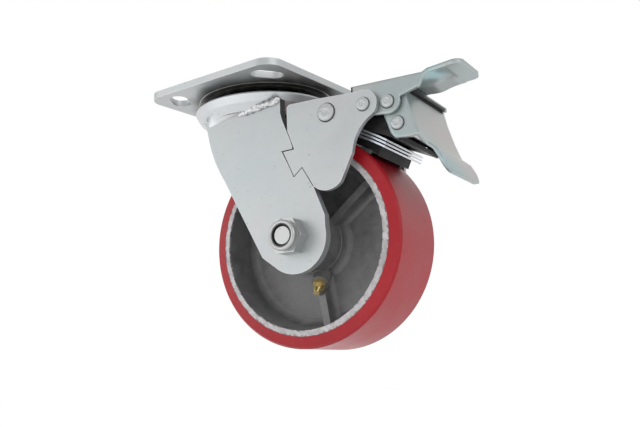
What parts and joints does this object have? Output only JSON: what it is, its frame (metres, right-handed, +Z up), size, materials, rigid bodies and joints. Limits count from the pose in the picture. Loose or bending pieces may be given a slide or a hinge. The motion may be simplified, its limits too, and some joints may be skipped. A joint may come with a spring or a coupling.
{
  "type": "swivel castor",
  "caption": "Plate-mounted swivel castor with a cushion-tread wheel, a foot-operated brake shoe and an upper and a lower pedal.",
  "frame": {"origin": "centre of the mounting plate's top face", "axes": "+Z up out of the mounting face, X along the plate's 100 mm side with the wheel trailing towards +X, Y along its 114 mm side; the fork is stored turned 5.4 degrees about Z"},
  "size_m": [0.1981, 0.114, 0.163],
  "materials": {
    "zinc_plate": "zinc plated, satin",
    "weld_metal": "plated weld bead",
    "ball_steel": "polished, greased",
    "ground_steel": "ground",
    "spring_steel": "zinc plated spring steel",
    "black_steel": "black oxide",
    "shoe_rubber": "matt black",
    "cage_plastic": "natural polyamide",
    "insert_nylon": "dark nylon",
    "iron_core": "grey painted casting",
    "red_tread": "moulded red tread, slight sheen",
    "nipple_brass": "turned brass"
  },
  "bodies": {
    "base": {"top_plate": "zinc_plate", "upper_race": "zinc_plate", "kingpin": "zinc_plate", "kingpin_nut": "zinc_plate", "lower_race": "zinc_plate"},
    "upper_ball_ring": {"upper_balls": "ball_steel"},
    "lower_ball_ring": {"lower_balls": "ball_steel"},
    "fork": {"swivel_crown": "zinc_plate", "near_leg": "zinc_plate", "far_leg": "zinc_plate", "near_weld": "weld_metal", "far_weld": "weld_metal", "near_bracket": "zinc_plate", "far_bracket": "zinc_plate", "arm_pin": "zinc_plate", "pedal_pin": "zinc_plate", "axle_bolt": "zinc_plate", "axle_nut": "zinc_plate", "nut_insert": "insert_nylon", "axle_bushing": "ground_steel", "thrust_washers": "zinc_plate"},
    "hub_bearing": {"bearing_rollers": "ball_steel", "bearing_cage": "cage_plastic"},
    "wheel": {"wheel_core": "iron_core", "wheel_tread": "red_tread", "grease_nipple": "nipple_brass"},
    "upper_pedal_link": {"upper_pedal": "zinc_plate", "link_pin": "zinc_plate"},
    "lower_pedal_link": {"lower_pedal": "zinc_plate", "roller_pin": "zinc_plate"},
    "roller": {"pressure_roller": "ground_steel"},
    "brake_arm": {"brake_lever": "black_steel", "upper_leaf": "spring_steel", "lower_leaf": "spring_steel", "brake_shoe": "shoe_rubber", "shoe_bolt": "zinc_plate", "shoe_nut": "zinc_plate"}
  },
  "joints": [
    {"name": "fork_swivel", "type": "hinge", "parent": "base", "child": "fork", "pos_m": [0, 0, -0.0198], "axis": [0, 0, 1], "continuous": true},
    {"name": "upper_balls_orbit", "type": "hinge", "parent": "base", "child": "upper_ball_ring", "pos_m": [0, 0, -0.0088], "axis": [0, 0, 1], "continuous": true},
    {"name": "lower_balls_orbit", "type": "hinge", "parent": "base", "child": "lower_ball_ring", "pos_m": [0, 0, -0.0184], "axis": [0, 0, 1], "continuous": true},
    {"name": "wheel_spin", "type": "hinge", "parent": "fork", "child": "wheel", "pos_m": [0.03873, 0.00366, -0.1005], "axis": [-0.0941, 0.9956, 0], "continuous": true},
    {"name": "bearing_orbit", "type": "hinge", "parent": "fork", "child": "hub_bearing", "pos_m": [0.03873, 0.00366, -0.1005], "axis": [-0.0941, 0.9956, 0], "continuous": true},
    {"name": "upper_pedal_tilt", "type": "hinge", "parent": "fork", "child": "upper_pedal_link", "pos_m": [0.08761, 0.00828, -0.0313], "axis": [-0.0941, 0.9956, 0], "range_deg": [0, 2.5]},
    {"name": "lower_pedal_tilt", "type": "hinge", "parent": "upper_pedal_link", "child": "lower_pedal_link", "pos_m": [0.10095, 0.00954, -0.0315], "axis": [-0.0941, 0.9956, 0], "range_deg": [0, 20]},
    {"name": "roller_spin", "type": "hinge", "parent": "lower_pedal_link", "child": "roller", "pos_m": [0.10483, 0.00991, -0.0438], "axis": [-0.0941, 0.9956, 0], "continuous": true},
    {"name": "brake_arm_tilt", "type": "hinge", "parent": "fork", "child": "brake_arm", "pos_m": [0.06411, 0.00606, -0.0314], "axis": [-0.0941, 0.9956, 0], "range_deg": [0, 3.8]}
  ],
  "couplings": [
    {"joint": "upper_balls_orbit", "follows": "fork_swivel", "ratio": 0.5},
    {"joint": "lower_balls_orbit", "follows": "fork_swivel", "ratio": 0.5},
    {"joint": "bearing_orbit", "follows": "wheel_spin", "ratio": 0.5735},
    {"joint": "brake_arm_tilt", "follows": "lower_pedal_tilt", "ratio": 0.19}
  ]
}
